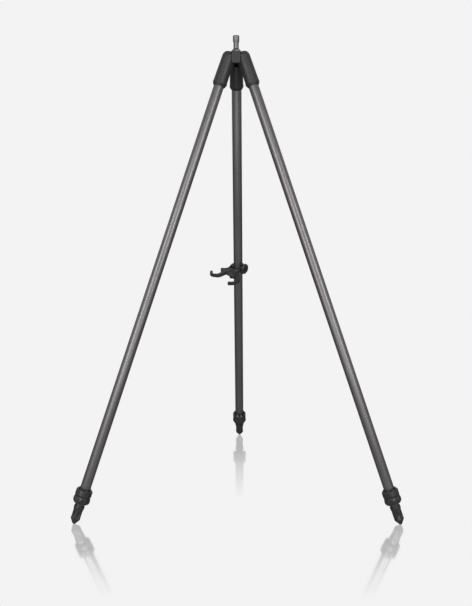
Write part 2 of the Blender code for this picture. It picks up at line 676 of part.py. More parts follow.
def main():
    clear_scene()
    materials = {
        "tube": finish("gunmetal_tube", (0.115, 0.110, 0.112), 0.34, 0.85),
        "hub": finish("dark_grey_moulding", (0.050, 0.049, 0.050), 0.5),
        "plastic": finish("black_plastic", (0.016, 0.016, 0.017), 0.4),
        "pale": finish("pale_bush_plastic", (0.32, 0.31, 0.28), 0.5),
        "peg": finish("dull_metal_peg", (0.20, 0.19, 0.18), 0.36, 0.9),
        "pin": finish("darkened_steel", (0.10, 0.10, 0.10), 0.4, 0.8),
        "steel": finish("plain_steel", (0.45, 0.45, 0.46), 0.3, 1.0),
    }
    make_hub(materials)
    make_peg(materials)
    folds = {leg: make_leg(leg, heading, materials) for leg, heading in LEGS.items()}
    make_catch(folds["rear"], materials)


main()
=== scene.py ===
# The look of a rod tripod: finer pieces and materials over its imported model. Metres, +Z up, the
# same frame as the model.
import json
from math import cos, hypot, pi, radians, sin, tan

import bmesh
import bpy
from mathutils import Euler, Matrix, Vector

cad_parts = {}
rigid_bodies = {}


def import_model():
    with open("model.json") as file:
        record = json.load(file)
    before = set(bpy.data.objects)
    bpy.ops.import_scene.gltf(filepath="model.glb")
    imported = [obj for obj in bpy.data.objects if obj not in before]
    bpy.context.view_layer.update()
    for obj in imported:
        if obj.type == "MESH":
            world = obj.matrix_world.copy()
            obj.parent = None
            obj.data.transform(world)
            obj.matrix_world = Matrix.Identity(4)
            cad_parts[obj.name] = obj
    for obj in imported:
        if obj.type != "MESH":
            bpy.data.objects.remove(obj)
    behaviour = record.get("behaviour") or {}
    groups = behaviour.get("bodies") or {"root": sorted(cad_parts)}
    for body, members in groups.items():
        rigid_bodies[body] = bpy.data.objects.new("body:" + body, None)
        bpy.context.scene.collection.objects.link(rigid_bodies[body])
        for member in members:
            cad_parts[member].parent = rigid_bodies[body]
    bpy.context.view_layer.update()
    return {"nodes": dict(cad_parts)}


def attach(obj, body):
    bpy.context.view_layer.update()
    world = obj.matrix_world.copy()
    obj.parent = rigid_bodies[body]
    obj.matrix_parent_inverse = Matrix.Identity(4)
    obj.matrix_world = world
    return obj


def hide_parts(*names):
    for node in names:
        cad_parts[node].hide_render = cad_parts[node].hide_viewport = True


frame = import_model()
print("stage: frame loaded")

# The stand's layout. The hub's axis stands at axisY, the feet stand on a circle round it, and pinS is
# a hinge pin's distance from the floor along its leaning leg. fit is the gap between two pieces, past
# is how far a cutter goes beyond what it cuts, and the rounds are numbers of sides.
lean = radians(21.23)
footCircle = 0.3965
axisY = -0.097525
pinHeight = 0.968
pinS = pinHeight / cos(lean)
pinCircle = footCircle - pinS * sin(lean)
foldAngle = radians(20.03)
legs = {"left": radians(210), "right": radians(330), "rear": radians(90)}
fit = 0.00035
past = 0.002
fineRound, midRound, smallRound, arcSteps = 96, 64, 48, 24
hubMatrix = Matrix.Translation((0, axisY, 0))


def legMatrix(heading):
    # A leg's own frame: Z runs up its axis from the floor and X points out, away from the middle.
    start = Matrix.Translation((footCircle * cos(heading), axisY + footCircle * sin(heading), 0))
    return start @ Euler((0, -lean, heading)).to_matrix().to_4x4()


def pinMatrix(heading):
    return legMatrix(heading) @ Matrix.Translation((0, 0, pinS))


def pinAcross(heading):
    # Round the hub's axis: Z lies along a leg's hinge pin.
    place = Matrix.Translation((pinCircle * cos(heading), pinCircle * sin(heading), pinHeight))
    return place @ Euler((pi / 2, 0, heading)).to_matrix().to_4x4()


def arc(centre, radius, start, stop, steps):
    turns = [radians(start + (stop - start) * i / steps) for i in range(steps + 1)]
    return [(centre[0] + radius * cos(a), centre[1] + radius * sin(a)) for a in turns]


def evenTurns(steps):
    return [(2 * pi * i / steps, 0.0) for i in range(steps)]


def easeStep(t):
    t = min(1.0, max(0.0, t))
    return t * t * (3 - 2 * t)


def lobeTurns(count, each, phase=0.0, power=0.8):
    # The turns round a lobed piece, each with its share of the hollows' depth.
    found = []
    for i in range(count * each):
        turn = 2 * pi * i / (count * each)
        found.append((phase + turn, (0.5 - 0.5 * cos(count * turn)) ** power))
    return found


def roundCorners(profile, amount, closed=False, pieces=3, straight=-0.94, share=0.45):
    # Each clear corner of a (radius, height, depth) profile becomes a short curve.
    points = [Vector((p[0], p[1], p[2] if len(p) > 2 else 0.0)) for p in profile]
    count = len(points)
    found = []
    for i, here in enumerate(points):
        if not closed and i in (0, count - 1):
            found.append(tuple(here))
            continue
        before = points[i - 1] - here
        after = points[(i + 1) % count] - here
        flat = before.to_2d().normalized().dot(after.to_2d().normalized())
        if flat < straight:
            found.append(tuple(here))
            continue
        cut = min(amount, share * before.length, share * after.length)
        start = here + before.normalized() * cut
        end = here + after.normalized() * cut
        for k in range(pieces + 1):
            t = k / pieces
            found.append(tuple(start * (1 - t) ** 2 + here * 2 * t * (1 - t) + end * t * t))
    return found


def eased(points, amount):
    # A closed plan outline with its corners rounded.
    return [(x, y) for x, y, z in roundCorners(points, amount, closed=True)]


def turned(profile, turns=fineRound, closed=False):
    # A solid turned round local Z. Its UV map is in metres: round the piece, then along the profile.
    turns = evenTurns(turns) if isinstance(turns, int) else turns
    steps = len(turns)
    angles = [turn for turn, share in turns] + [turns[0][0] + 2 * pi]
    girth = max(p[0] for p in profile)
    onAxis, seam = 1e-7, 0.001
    bm = bmesh.new()
    uv = bm.loops.layers.uv.new("UVMap")
    loops, lengths = [], []
    run = 0.0
    for k, point in enumerate(profile):
        radius, height = point[0], point[1]
        depth = point[2] if len(point) > 2 else 0.0
        if k:
            run += hypot(radius - profile[k - 1][0], height - profile[k - 1][1])
        lengths.append(run)
        if radius < onAxis:
            loops.append([bm.verts.new((0, 0, height))])
            continue
        ring = []
        for turn, share in turns:
            r = radius - depth * share
            ring.append(bm.verts.new((r * cos(turn), r * sin(turn), height)))
        loops.append(ring)
    lengths.append(run + seam)
    pairs = len(loops) if closed else len(loops) - 1
    for k in range(pairs):
        low, high = loops[k], loops[(k + 1) % len(loops)]
        for i in range(steps):
            j = (i + 1) % steps
            ring = [(low, i, i, lengths[k]), (low, j, i + 1, lengths[k])]
            ring += [(high, j, i + 1, lengths[k + 1]), (high, i, i, lengths[k + 1])]
            corners, places = [], []
            for loop, at, mark, v in ring:
                vert = loop[at % len(loop)]
                if vert not in corners:
                    corners.append(vert)
                    places.append((angles[mark] * girth, v))
            if len(corners) > 2:
                face = bm.faces.new(corners)
                for corner, place in zip(face.loops, places):
                    corner[uv].uv = place
    return bm


def prism(outline, low, high):
    bm = bmesh.new()
    base = bm.faces.new([bm.verts.new((x, y, low)) for x, y in outline])
    pulled = bmesh.ops.extrude_face_region(bm, geom=[base])
    lifted = [v for v in pulled["geom"] if isinstance(v, bmesh.types.BMVert)]
    bmesh.ops.translate(bm, verts=lifted, vec=(0, 0, high - low))
    return bm


def rectangle(left, right, near, far):
    return [(left, near), (right, near), (right, far), (left, far)]


def rod(radius, low, high, steps=smallRound):
    return turned(rectangle(0, radius, low, high), steps)


def moved(bm, matrix):
    bmesh.ops.transform(bm, matrix=matrix, verts=bm.verts)
    return bm


def tempObject(bm, name="shape"):
    bmesh.ops.recalc_face_normals(bm, faces=bm.faces)
    mesh = bpy.data.meshes.new(name)
    bm.to_mesh(mesh)
    bm.free()
    item = bpy.data.objects.new(name, mesh)
    bpy.context.scene.collection.objects.link(item)
    return item


def bakedShape(item, used):
    # The mesh that an object's modifiers make, once the objects that made it are gone.
    bpy.context.view_layer.update()
    graph = bpy.context.evaluated_depsgraph_get()
    mesh = bpy.data.meshes.new_from_object(item.evaluated_get(graph), depsgraph=graph)
    for spare in [item] + used:
        data = spare.data
        bpy.data.objects.remove(spare, do_unlink=True)
        bpy.data.meshes.remove(data)
    return mesh


def asBmesh(mesh):
    found = bmesh.new()
    found.from_mesh(mesh)
    bpy.data.meshes.remove(mesh)
    return found


def carved(bm, steps, voxel=0.0, smooth=0, ratio=1.0):
    # A body made by joining and cutting, then melted a little so that its edges are soft.
    base = tempObject(bm)
    used = []
    for operation, tool in steps:
        used.append(tempObject(tool))
        cut = base.modifiers.new("cut", "BOOLEAN")
        cut.operation = operation
        cut.solver = "EXACT"
        cut.object = used[-1]
    if voxel:
        melt = base.modifiers.new("melt", "REMESH")
        melt.mode = "VOXEL"
        melt.voxel_size = voxel
    if smooth:
        soft = base.modifiers.new("soft", "SMOOTH")
        soft.factor = 0.5
        soft.iterations = smooth
    if ratio < 1.0:
        lighter = base.modifiers.new("lighter", "DECIMATE")
        lighter.ratio = ratio
    return bakedShape(base, used)


def placed(mesh, matrix):
    mesh.transform(matrix)
    mesh.shade_smooth()
    return mesh


def meshOf(bm, matrix, sharp=radians(38)):
    moved(bm, matrix)
    bmesh.ops.recalc_face_normals(bm, faces=bm.faces)
    mesh = bpy.data.meshes.new("piece")
    bm.to_mesh(mesh)
    bm.free()
    mesh.shade_smooth()
    mesh.set_sharp_from_angle(angle=sharp)
    return mesh


def addPiece(name, mesh, material, body, nodes):
    mesh.name = name
    mesh.materials.clear()
    mesh.materials.append(material)
    item = bpy.data.objects.new(name, mesh)
    bpy.context.scene.collection.objects.link(item)
    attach(item, body)
    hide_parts(*nodes)
    return item


def nodeOf(tree, kind, x, y, **sockets):
    node = tree.nodes.new(kind)
    node.location = (x, y)
    for name, value in sockets.items():
        node.inputs[name.replace("_", " ")].default_value = value
    return node


# What all surfaces share: the noise values where a tone and a roughness start and end, the drawn
# lines along the tubes and the depth of the relief.
finish = {"dark": 0.30, "pale": 0.72, "smooth": 0.3, "dull": 0.7, "lineStretch": (1, 0.012, 1),
          "lineScale": 2600.0, "relief": 0.0002}


def surface(name, colour, roughness, metallic=0.0, specular=0.5, coords="Object", stretch=(1, 1, 1),
            grain=900.0, grainBump=0.12, patch=38.0, patchShift=0.12, roughShift=0.06, streak=0.0):
    # One moulded or coated surface: broad patches in tone and roughness, a fine grain in the relief,
    # and thin streaks along the second axis of its coordinates.
    material = bpy.data.materials.new(name)
    material.use_nodes = True
    tree = material.node_tree
    tree.nodes.clear()
    link = tree.links.new
    out = nodeOf(tree, "ShaderNodeOutputMaterial", 900, 0)
    shader = nodeOf(tree, "ShaderNodeBsdfPrincipled", 620, 0, Metallic=metallic, Specular_IOR_Level=specular)
    link(shader.outputs["BSDF"], out.inputs["Surface"])
    place = nodeOf(tree, "ShaderNodeTexCoord", -1100, 0)
    scale = nodeOf(tree, "ShaderNodeMapping", -900, 0, Scale=stretch)
    link(place.outputs[coords], scale.inputs["Vector"])
    broad = nodeOf(tree, "ShaderNodeTexNoise", -640, 300, Scale=patch, Detail=3.0, Roughness=0.55)
    fine = nodeOf(tree, "ShaderNodeTexNoise", -640, 0, Scale=grain, Detail=2.0, Roughness=0.6)
    link(scale.outputs["Vector"], broad.inputs["Vector"])
    link(scale.outputs["Vector"], fine.inputs["Vector"])
    tone = nodeOf(tree, "ShaderNodeValToRGB", -360, 360)
    for stop, at, shift in zip(tone.color_ramp.elements, (finish["dark"], finish["pale"]), (-1, 1)):
        stop.position = at
        stop.color = (*[c * (1 + shift * patchShift) for c in colour], 1)
    link(broad.outputs["Fac"], tone.inputs["Fac"])
    link(tone.outputs["Color"], shader.inputs["Base Color"])
    rough = nodeOf(tree, "ShaderNodeMapRange", -360, 60, From_Min=finish["smooth"], From_Max=finish["dull"],
                   To_Min=roughness - roughShift, To_Max=roughness + roughShift)
    link(broad.outputs["Fac"], rough.inputs["Value"])
    value = rough.outputs["Result"]
    height = fine.outputs["Fac"]
    if streak:
        lines = nodeOf(tree, "ShaderNodeMapping", -900, -320, Scale=finish["lineStretch"])
        link(place.outputs[coords], lines.inputs["Vector"])
        drawn = nodeOf(tree, "ShaderNodeTexNoise", -640, -320, Scale=finish["lineScale"], Detail=3.0,
                       Roughness=0.65)
        link(lines.outputs["Vector"], drawn.inputs["Vector"])
        scatter = nodeOf(tree, "ShaderNodeMath", -360, -160)
        scatter.operation = "MULTIPLY_ADD"
        scatter.inputs[1].default_value = streak
        link(drawn.outputs["Fac"], scatter.inputs[0])
        link(value, scatter.inputs[2])
        value = scatter.outputs["Value"]
        both = nodeOf(tree, "ShaderNodeMath", -360, -340)
        both.operation = "ADD"
        link(drawn.outputs["Fac"], both.inputs[0])
        link(height, both.inputs[1])
        height = both.outputs["Value"]
    link(value, shader.inputs["Roughness"])
    relief = nodeOf(tree, "ShaderNodeBump", 320, -260, Strength=grainBump, Distance=finish["relief"])
    link(height, relief.inputs["Height"])
    link(relief.outputs["Normal"], shader.inputs["Normal"])
    return material


looks = {
    "tube": surface("gunmetalTube", (0.198, 0.187, 0.188), 0.30, 0.85, coords="UV", stretch=(1, 0.35, 1),
                    grain=1500.0, grainBump=0.05, patch=30.0, patchShift=0.05, roughShift=0.03, streak=0.10),
    "hub": surface("greyMoulding", (0.025, 0.0245, 0.025), 0.42, grain=1700.0, grainBump=0.14, patch=60.0,
                   patchShift=0.08, roughShift=0.05),
    "plastic": surface("blackPlastic", (0.025, 0.0243, 0.025), 0.20, grain=2100.0, grainBump=0.05, patch=90.0,
                       patchShift=0.15, roughShift=0.05),
    "pale": surface("paleBearing", (0.30, 0.29, 0.26), 0.5, grain=1300.0, patch=80.0, patchShift=0.06),
    "peg": surface("turnedPeg", (0.170, 0.168, 0.167), 0.28, 0.85, coords="UV", stretch=(0.05, 1, 1),
                   grain=2600.0, grainBump=0.08, patch=300.0, patchShift=0.04, roughShift=0.03),
    "pin": surface("darkPin", (0.075, 0.074, 0.075), 0.36, 0.7, grain=1500.0, patch=200.0),
    "steel": surface("screwSteel", (0.42, 0.42, 0.43), 0.3, 0.95, grain=1900.0, patch=300.0),
}
print("stage: materials made")


def ringOfCopies():
    # A node tree that sets a number of copies of one shape evenly round Z.
    tree = bpy.data.node_groups.new("ringOfCopies", "GeometryNodeTree")
    entries = {"Geometry": "Geometry", "Count": "Int", "Phase": "Float", "Copy": "Object",
               "Material": "Material"}
    for name, kind in entries.items():
        tree.interface.new_socket(name, in_out="INPUT", socket_type="NodeSocket" + kind)
    tree.interface.new_socket("Geometry", in_out="OUTPUT", socket_type="NodeSocketGeometry")
    link = tree.links.new
    entry = nodeOf(tree, "NodeGroupInput", -900, 0)
    leave = nodeOf(tree, "NodeGroupOutput", 900, 0)
    points = nodeOf(tree, "GeometryNodePoints", -500, 200)
    shape = nodeOf(tree, "GeometryNodeObjectInfo", -500, 0)
    shape.transform_space = "ORIGINAL"
    place = nodeOf(tree, "GeometryNodeInstanceOnPoints", 200, 100)
    index = nodeOf(tree, "GeometryNodeInputIndex", -700, -200)
    step = nodeOf(tree, "ShaderNodeMath", -500, -200)
    step.operation = "DIVIDE"
    step.inputs[0].default_value = 2 * pi
    turn = nodeOf(tree, "ShaderNodeMath", -300, -200)
    turn.operation = "MULTIPLY_ADD"
    angles = nodeOf(tree, "ShaderNodeCombineXYZ", -100, -200)
    whole = nodeOf(tree, "GeometryNodeRealizeInstances", 400, 100)
    coated = nodeOf(tree, "GeometryNodeSetMaterial", 600, 100)
    link(entry.outputs["Count"], points.inputs["Count"])
    link(entry.outputs["Count"], step.inputs[1])
    link(index.outputs["Index"], turn.inputs[0])
    link(step.outputs["Value"], turn.inputs[1])
    link(entry.outputs["Phase"], turn.inputs[2])
    link(turn.outputs["Value"], angles.inputs["Z"])
    link(entry.outputs["Copy"], shape.inputs["Object"])
    link(points.outputs[0], place.inputs["Points"])
    link(shape.outputs["Geometry"], place.inputs["Instance"])
    link(angles.outputs["Vector"], place.inputs["Rotation"])
    link(place.outputs["Instances"], whole.inputs["Geometry"])
    link(whole.outputs["Geometry"], coated.inputs["Geometry"])
    link(entry.outputs["Material"], coated.inputs["Material"])
    link(coated.outputs["Geometry"], leave.inputs["Geometry"])
    return tree


ringTree = ringOfCopies()


def ringed(bm, count, phase, material):
    # Copies of a shape round Z, made with the node tree and returned as one plain body.
    copy = tempObject(bm, "copy")
    carrier = tempObject(bmesh.new(), "carrier")
    step = carrier.modifiers.new("ring", "NODES")
    step.node_group = ringTree
    sockets = {item.name: item.identifier for item in ringTree.interface.items_tree if item.in_out == "INPUT"}
    step[sockets["Count"]] = count
    step[sockets["Phase"]] = phase
    step[sockets["Copy"]] = copy
    step[sockets["Material"]] = material
    return asBmesh(bakedShape(carrier, [copy]))


# The moulded sleeve at a leg's top. Its rim is a short ring near the mouth, and the dome ends it over
# the pin. Heights are along the leg, but domeFrom and crownFrom are from the pin.
sleeve = {
    "low": 0.9768, "rimLow": 0.9822, "rimHigh": 0.9866, "shoulder": 1.0406, "rim": 0.0154, "neck": 0.01408,
    "mouth": 0.0014, "bevelIn": 0.0006, "bevelDown": 0.0008, "ledgeIn": 0.00035, "ledgeUp": 0.0005,
    "dome": 0.0150, "power": 2.4, "domeSteps": 16, "roof": 0.0005, "slotDepth": 0.0096, "slotGap": 0.0004,
    "slotReach": 0.03, "holeReach": 0.02, "sweep": 0.0005, "swings": 5, "domeFrom": 0.001, "crownFrom": 0.006,
    "melt": {"voxel": 0.00034, "smooth": 2, "ratio": 0.5},
}


def sleeveProfile():
    low, high, rim, steps = (sleeve[key] for key in ("rimLow", "rimHigh", "rim", "domeSteps"))
    points = [(tube["outer"] + sleeve["mouth"], sleeve["low"])]
    points += [(rim - sleeve["bevelIn"], low - sleeve["bevelDown"]), (rim, low), (rim, high)]
    points.append((rim - sleeve["ledgeIn"], high + sleeve["ledgeUp"]))
    for i in range(steps + 1):
        turn = pi / 2 * i / steps
        across = sleeve["neck"] * max(cos(turn), 0.0) ** (2 / sleeve["power"])
        along = sleeve["dome"] * sin(turn) ** (2 / sleeve["power"])
        points.append((across if i < steps else 0.0, sleeve["shoulder"] + along))
    return points


def sweep(upper):
    # The room that a sleeve takes over its whole fold: its dome above the pin, or the rest of it.
    spare = sleeve["sweep"]
    outline = [(r + spare, s - pinS) for r, s in sleeveProfile()]
    outline = [(r, s) for r, s in outline if (s > sleeve["domeFrom"]) == upper]
    outline.append((sleeve["neck"] + spare, 0.0))
    if upper:
        outline = [(r, s + (spare if s > sleeve["crownFrom"] else 0.0)) for r, s in outline]
    bm = bmesh.new()
    for k in range(sleeve["swings"]):
        swing = Matrix.Rotation(foldAngle * k / (sleeve["swings"] - 1), 3, "Y")
        for r, s in outline:
            for turn, share in evenTurns(midRound):
                bm.verts.new(swing @ Vector((r * cos(turn), r * sin(turn), s)))
    bmesh.ops.remove_doubles(bm, verts=bm.verts, dist=1e-5)
    hull = bmesh.ops.convex_hull(bm, input=bm.verts)
    loose = {v for v in hull["geom_interior"] + hull["geom_unused"] if isinstance(v, bmesh.types.BMVert)}
    bmesh.ops.delete(bm, geom=list(loose), context="VERTS")
    return bm


def makeSleeve(leg, heading):
    bore, roof = tube["outer"] + fit, tube["high"] + sleeve["roof"] - pinS
    profile = [(0, roof), (bore, roof), (bore, sleeve["low"] - pinS)]
    profile += [(r, s - pinS) for r, s in sleeveProfile()]
    gap, reach = sleeve["slotGap"], sleeve["slotReach"]
    half, out = hub["tongue"] + gap, hub["round"] + gap
    slot = prism(rectangle(-reach, out, -half, half), -sleeve["slotDepth"], reach)
    hole = rod(hub["pin"] + fit, -sleeve["holeReach"], sleeve["holeReach"])
    cuts = [("DIFFERENCE", slot), ("DIFFERENCE", moved(hole, Matrix.Rotation(pi / 2, 4, "X")))]
    mesh = placed(carved(turned(profile), cuts, **sleeve["melt"]), pinMatrix(heading))
    addPiece("sleeve_" + leg, mesh, looks["hub"], "leg_" + leg, ["leg_sleeve_" + leg])


# The hub: a block with an arm between each two legs, and a tongue for each leg. The tongue's own
# values are in its leg's frame, from the pin.
hub = {
    "top": 0.9842, "bottom": 0.9592, "half": 0.00915, "reach": 0.0225, "corner": 0.0016, "cornerEase": 0.3,
    "arms": (radians(270), radians(30), radians(150)), "tongue": 0.0040, "round": 0.0076, "rootOut": 0.0020,
    "rootLow": -0.0066, "rootDrop": 0.0006, "roundFrom": -112, "cheek": 0.0118, "cheekCut": (0.0022, 0.0146),
    "pin": 0.0030, "pinHalf": 0.0137, "pinEdge": 0.0007, "holeHalf": 0.008, "pegSpare": 0.0006,
    "melt": {"voxel": 0.00032, "smooth": 7, "ratio": 0.6},
}


def tongue():
    def level(out, up):
        return (out * cos(lean) + up * sin(lean), up * cos(lean) - out * sin(lean))

    core, r = hub["rootOut"] - pinCircle, hub["round"]
    cutIn, cutUp = hub["cheekCut"]
    points = [level(core, hub["rootLow"])] + arc((0, 0), r, hub["roundFrom"], 0, arcSteps)
    points += [(r, hub["cheek"]), (r - cutIn, cutUp), level(core, hub["top"] - hub["rootDrop"] - pinHeight)]
    return moved(prism(points, -hub["tongue"], hub["tongue"]), Matrix.Rotation(pi / 2, 4, "X"))


def hubOutline():
    points = []
    across, reach, turn = hub["half"], hub["reach"], hub["corner"]
    ease, sixth = turn * hub["cornerEase"], radians(60)
    for heading in hub["arms"]:
        ahead = Vector((cos(heading), sin(heading)))
        side = Vector((-ahead.y, ahead.x))
        corner = [(-across, reach - turn), (-across + ease, reach - ease), (-across + turn, reach)]
        corner += [(-x, y) for x, y in reversed(corner)]
        points += [tuple(ahead * y + side * x) for x, y in corner]
        junction = across / sin(sixth)
        points.append((junction * cos(heading + sixth), junction * sin(heading + sixth)))
    return points


def makeHub():
    places = [hubMatrix.inverted() @ pinMatrix(heading) for heading in legs.values()]
    steps = [("DIFFERENCE", moved(sweep(half), place)) for place in places for half in (True, False)]
    steps += [("UNION", moved(tongue(), place)) for place in places]
    for heading in legs.values():
        hole = rod(hub["pin"] + fit, -hub["holeHalf"], hub["holeHalf"])
        steps.append(("DIFFERENCE", moved(hole, pinAcross(heading))))
    floor = hub["top"] - peg["depth"] - hub["pegSpare"]
    steps.append(("DIFFERENCE", rod(peg["shank"] + fit, floor, hub["top"] + past)))
    mesh = carved(prism(hubOutline(), hub["bottom"], hub["top"]), steps, **hub["melt"])
    addPiece("hubBody", placed(mesh, hubMatrix), looks["hub"], "hub", ["hub"])
    half, radius = hub["pinHalf"], hub["pin"]
    outline = roundCorners(rectangle(0, radius, -half, half), hub["pinEdge"])
    for leg, heading in legs.items():
        pin = meshOf(turned(outline, smallRound), hubMatrix @ pinAcross(heading))
        addPiece("pin_" + leg, pin, looks["pin"], "hub", ["hinge_pin_" + leg])


# The peg, whose neck and head are measured down from its top, and the six-sided nut at its foot. A
# pair is a radius, or a step in or out, and a step along.
peg = {"top": 1.0186, "depth": 0.022, "shank": 0.0030, "neck": 0.0057, "head": 0.0070, "neckEnd": 0.0168,
       "flareStart": (0.0003, 0.0148), "flareEnd": (0.0002, 0.0112), "headStart": 0.0100, "crown": 0.0022,
       "crownSteps": 10, "edge": 0.0004}
pegNut = {"low": 0.9846, "high": 0.9908, "base": 0.0112, "widest": (0.0114, 0.0006), "side": (0.0106, 0.0018),
          "slope": (0.0071, 0.0006), "mouth": 0.0062, "flat": 0.0095, "sides": 6, "turn": radians(15),
          "cutter": (0.03, 0.02), "melt": {"voxel": 0.00022, "smooth": 3, "ratio": 0.6}}


def makePeg():
    top, neck, head, shank, crown = (peg[key] for key in ("top", "neck", "head", "shank", "crown"))
    root, seat = hub["top"] - peg["depth"], pegNut["high"] + fit
    profile = [(0, root), (shank, root), (shank, seat), (neck, seat), (neck, top - peg["neckEnd"])]
    profile.append((neck + peg["flareStart"][0], top - peg["flareStart"][1]))
    profile.append((head - peg["flareEnd"][0], top - peg["flareEnd"][1]))
    profile.append((head, top - peg["headStart"]))
    profile = roundCorners(profile, peg["edge"])
    profile += arc((head - crown, top - crown), crown, 0, 90, peg["crownSteps"]) + [(0, top)]
    addPiece("pegBody", meshOf(turned(profile), hubMatrix), looks["peg"], "hub", ["peg"])


def makePegNut():
    low, high, flat, bore = pegNut["low"], pegNut["high"], pegNut["flat"], peg["shank"] + fit
    profile = [(bore, low), (pegNut["base"], low)]
    profile += [(radius, low + up) for radius, up in (pegNut["widest"], pegNut["side"])]
    profile += [(pegNut["slope"][0], high - pegNut["slope"][1]), (pegNut["mouth"], high), (bore, high)]
    wide, deep = pegNut["cutter"]
    cuts = []
    for turn, share in evenTurns(pegNut["sides"]):
        side = prism(rectangle(-wide, wide, flat, deep), low - past, high + past)
        cuts.append(("DIFFERENCE", moved(side, Matrix.Rotation(turn + pegNut["turn"], 4, "Z"))))
    nut = placed(carved(turned(profile, closed=True), cuts, **pegNut["melt"]), hubMatrix)
    addPiece("pegNut", nut, looks["peg"], "hub", ["peg_nut"])


# The upper tube of each leg and the lower one inside it, along the leg.
tube = {"outer": 0.011, "bore": 0.010, "low": 0.0560, "high": 1.0155, "edge": 0.0003}
inner = {"outer": 0.009, "bore": 0.008, "low": 0.0421, "high": 0.9420, "edge": 0.0003}


def pipe(size):
    profile = rectangle(size["bore"], size["outer"], size["low"], size["high"])
    return turned(roundCorners(profile, size["edge"], closed=True, pieces=2), closed=True)


def makeTube(leg, heading):
    upper = meshOf(pipe(tube), legMatrix(heading))
    addPiece("tube_" + leg, upper, looks["tube"], "leg_" + leg, ["upper_tube_" + leg])
    lower = meshOf(pipe(inner), legMatrix(heading))
    addPiece("innerTube_" + leg, lower, looks["tube"], "lower_" + leg, ["inner_tube_" + leg])


# The twist lock: a fixed collar with pockets in its top, and the lobed nut below it. A group of three
# is a radius or a step in, a step up, and how deep the hollows between the lobes are there.
collar = {"radius": 0.0174, "rim": 0.0752, "top": 0.0790, "skirt": (0.0010, 0.0026), "bevel": 0.0012,
          "crown": (0.0134, 0.0004), "mouth": 0.0128, "spigot": 0.0140, "spigotLow": 0.0540,
          "pockets": 8, "pocketDepth": 0.0075, "pocketIn": (0.0100, 0.0021), "pocketOut": (0.0154, 0.0027),
          "melt": {"voxel": 0.00028, "smooth": 3, "ratio": 0.5}}
lockNut = {"radius": 0.0179, "low": 0.0452, "high": 0.0610, "lobes": 8, "perLobe": 16, "gap": 0.0005,
           "base": 0.0128, "heel": (0.0146, 0.0008, 0.0004), "flank": (0.0006, 0.0036, 0.0016),
           "belly": (0.001, 0.0020), "brow": (0.0030, 0.0014), "lip": 0.0013, "seat": 0.0506, "floor": 0.0466,
           "throat": 0.0013, "edge": 0.0012}


def makeCollar(leg, heading):
    phase = radians(270) - heading
    bore, radius, rim, top = tube["outer"] + fit, collar["radius"], collar["rim"], collar["top"]
    spigot, spigotLow, bevel, seat = collar["spigot"], collar["spigotLow"], collar["bevel"], lockNut["high"]
    skirtIn, skirtUp = collar["skirt"]
    crown, crownDown = collar["crown"]
    profile = [(bore, top), (bore, spigotLow), (spigot, spigotLow), (spigot, seat + fit)]
    profile += [(radius - skirtIn, seat + fit), (radius, seat + skirtUp), (radius, rim - bevel)]
    profile += [(radius - bevel, rim), (crown, top - crownDown), (collar["mouth"], top)]
    (near, nearHalf), (far, farHalf) = collar["pocketIn"], collar["pocketOut"]
    plan = [(near, -nearHalf), (far, -farHalf), (far, farHalf), (near, nearHalf)]
    pocket = prism(plan, top - collar["pocketDepth"], top + past)
    pockets = ringed(pocket, collar["pockets"], phase, looks["plastic"])
    mesh = carved(turned(profile, closed=True), [("DIFFERENCE", pockets)], **collar["melt"])
    mesh = placed(mesh, legMatrix(heading))
    addPiece("lockCollar_" + leg, mesh, looks["plastic"], "leg_" + leg, ["lock_collar_" + leg])


def makeLockNut(leg, heading):
    low, high, radius, gap = (lockNut[key] for key in ("low", "high", "radius", "gap"))
    middle = (low + high) / 2
    neck, spigot = inner["outer"] + gap, collar["spigot"] + gap
    heel, heelUp, heelDeep = lockNut["heel"]
    flankIn, flankUp, flankDeep = lockNut["flank"]
    bellyDown, bellyDeep = lockNut["belly"]
    browUp, browDeep = lockNut["brow"]
    profile = [(neck, low), (lockNut["base"], low), (heel, low + heelUp, heelDeep)]
    profile += [(radius - flankIn, low + flankUp, flankDeep), (radius, middle - bellyDown, bellyDeep)]
    profile += [(radius, middle + browUp, browDeep), (radius - lockNut["lip"], high), (spigot, high)]
    profile += [(spigot, lockNut["seat"]), (inner["outer"] + lockNut["throat"], lockNut["floor"])]
    profile = roundCorners(profile + [(neck, lockNut["floor"])], lockNut["edge"], closed=True, pieces=4)
    turns = lobeTurns(lockNut["lobes"], lockNut["perLobe"], radians(270) - heading)
    nut = meshOf(turned(profile, turns, closed=True), legMatrix(heading))
    addPiece("lockNut_" + leg, nut, looks["plastic"], "lock_" + leg, ["lock_nut_" + leg])


# The foot, from its round tip up: a cone, a fluted barrel, a flange and the plug in the lower tube. The
# right foot stands turned by half a flute.
foot = {"tip": 0.0042, "tipSteps": 10, "cone": radians(35), "shoulder": 0.0013, "ease": (0.0003, 0.0014),
        "barrel": 0.0030, "radius": 0.0101, "fluteIn": 0.0032, "fluteEnd": 0.0276, "fluteOut": 0.0306,
        "seat": 0.0334, "flange": 0.0111, "flangeLow": 0.0342, "flangeHigh": 0.0410, "bevel": 0.0006,
        "top": 0.0417, "plugGap": 0.0005, "plugTop": 0.0610, "edge": 0.0008, "sharp": radians(50),
        "flutes": 6, "depth": 0.0019, "ridge": radians(9.5), "wall": radians(5.5), "steps": 6}
footTurn = {"left": 0.0, "right": radians(30), "rear": 0.0}


